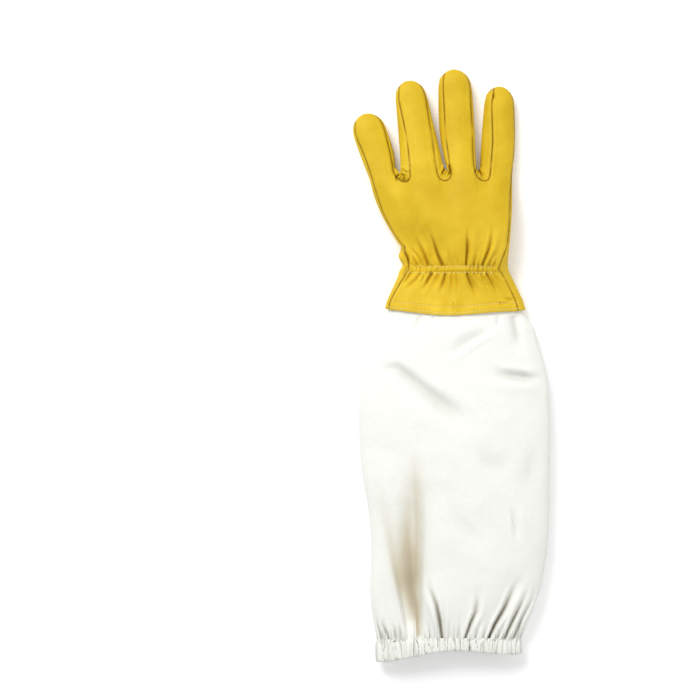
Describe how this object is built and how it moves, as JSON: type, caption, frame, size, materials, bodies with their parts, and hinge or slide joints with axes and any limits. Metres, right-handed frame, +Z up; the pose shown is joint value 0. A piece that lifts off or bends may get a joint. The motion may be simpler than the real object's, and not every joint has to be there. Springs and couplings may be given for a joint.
{
  "type": "beekeeping glove",
  "caption": "Left-hand beekeeping glove lying palm down: yellow leather hand with a gathered wrist, and a long white canvas sleeve ending in an elastic hem.",
  "frame": {"origin": "on the sleeve's flat underside, where the glove rests, 44 mm below the cuff's lower edge on the glove's centre line", "axes": "+Y from the elastic hem towards the fingertips, +X towards the index finger, +Z up out of the surface it lies on"},
  "size_m": [0.1623, 0.4893, 0.0338],
  "materials": {
    "yellow_leather": "soft grained leather",
    "white_canvas": "matt cotton canvas"
  },
  "bodies": {
    "root": {"back_panel": "yellow_leather", "palm_panel": "yellow_leather", "fourchette_little_ring": "yellow_leather", "fourchette_ring_middle": "yellow_leather", "fourchette_middle_index": "yellow_leather", "thumb": "yellow_leather", "sleeve": "white_canvas", "elastic_hem": "white_canvas"}
  },
  "joints": []
}
